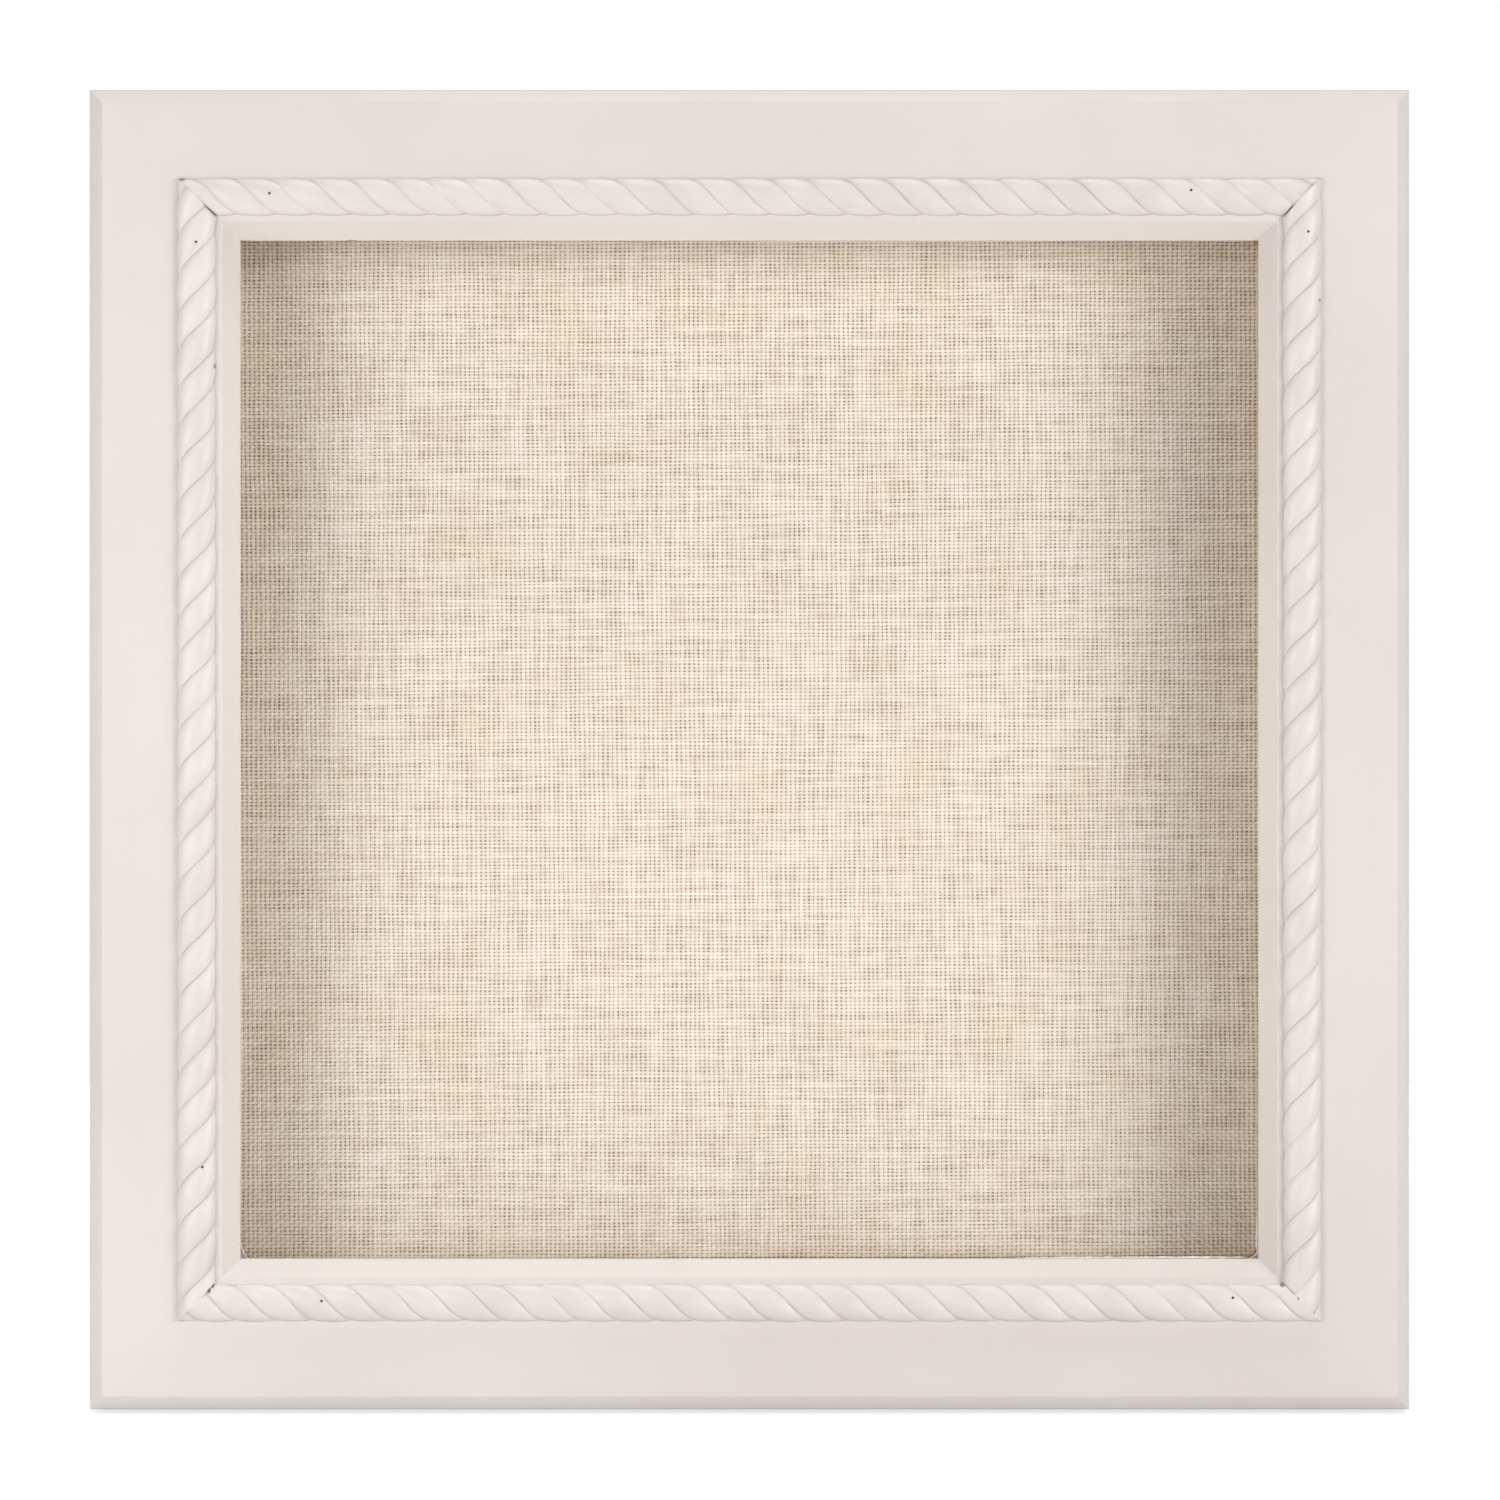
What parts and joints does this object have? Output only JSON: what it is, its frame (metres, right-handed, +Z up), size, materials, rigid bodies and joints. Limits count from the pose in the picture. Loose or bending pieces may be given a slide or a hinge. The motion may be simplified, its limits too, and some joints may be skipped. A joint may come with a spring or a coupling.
{
  "type": "shadow box",
  "caption": "Square wooden shadow box with a rope-trimmed glazed door on hinges over a shallow case holding a linen-covered display board.",
  "frame": {"origin": "under the middle of the box, on the surface it stands on", "axes": "+Z up, -Y out of the glazed front, +Y towards the wall, +X to the right seen from the front"},
  "size_m": [0.381, 0.0675, 0.382],
  "materials": {
    "painted_wood": "warm white brushed satin paint",
    "painted_rope": "warm white satin paint over carved rope moulding",
    "linen": "natural open plain weave",
    "glass": "clear float glass",
    "sealant": "clear silicone",
    "board": "grey board",
    "hardboard": "brown hardboard",
    "steel": "zinc plated",
    "brass": "satin brass",
    "nickel": "nickel plated",
    "felt": "dark rubber bumper"
  },
  "bodies": {
    "case": {"back_panel": "hardboard", "back_screw_bottom_left": "steel", "back_screw_bottom_right": "steel", "back_screw_top_left": "steel", "back_screw_top_right": "steel", "case_bottom": "painted_wood", "case_left": "painted_wood", "case_right": "painted_wood", "case_top": "painted_wood", "catch_magnet": "nickel", "display_board": "board", "left_hanger_screw": "nickel", "left_hanger_strap": "nickel", "left_wall_bumper": "felt", "linen_cover": "linen", "lower_hinge_case_leaf": "brass", "lower_hinge_case_screw_1": "brass", "lower_hinge_case_screw_2": "brass", "lower_hinge_pin": "brass", "right_hanger_screw": "nickel", "right_hanger_strap": "nickel", "right_wall_bumper": "felt", "upper_hinge_case_leaf": "brass", "upper_hinge_case_screw_1": "brass", "upper_hinge_case_screw_2": "brass", "upper_hinge_pin": "brass"},
    "door": {"door_bottom_rail": "painted_wood", "door_left_stile": "painted_wood", "door_right_stile": "painted_wood", "door_top_rail": "painted_wood", "glass_pane": "glass", "lower_hinge_door_leaf": "brass", "lower_hinge_door_screw_1": "brass", "lower_hinge_door_screw_2": "brass", "magnet_strike": "steel", "rope_bottom": "painted_rope", "rope_left": "painted_rope", "rope_pin_bottom_1": "steel", "rope_pin_bottom_2": "steel", "rope_pin_left_1": "steel", "rope_pin_left_2": "steel", "rope_pin_right_1": "steel", "rope_pin_right_2": "steel", "rope_pin_top_1": "steel", "rope_pin_top_2": "steel", "rope_right": "painted_rope", "rope_top": "painted_rope", "sealant_bottom": "sealant", "sealant_left": "sealant", "sealant_right": "sealant", "sealant_top": "sealant", "upper_hinge_door_leaf": "brass", "upper_hinge_door_screw_1": "brass", "upper_hinge_door_screw_2": "brass", "v_nail_bottom_left": "steel", "v_nail_bottom_right": "steel", "v_nail_top_left": "steel", "v_nail_top_right": "steel"},
    "left_ring": {"left_hanger_ring": "nickel"},
    "right_ring": {"right_hanger_ring": "nickel"}
  },
  "joints": [
    {"name": "door_swing", "type": "hinge", "parent": "case", "child": "door", "pos_m": [-0.188, -0.0112, 0.1915], "axis": [0, 0, -1], "range_deg": [0, 160]},
    {"name": "left_ring_swing", "type": "hinge", "parent": "case", "child": "left_ring", "pos_m": [-0.1795, 0.031, 0.302], "axis": [1, 0, 0], "range_deg": [0, 180]},
    {"name": "right_ring_swing", "type": "hinge", "parent": "case", "child": "right_ring", "pos_m": [0.1795, 0.031, 0.302], "axis": [1, 0, 0], "range_deg": [0, 180]}
  ]
}
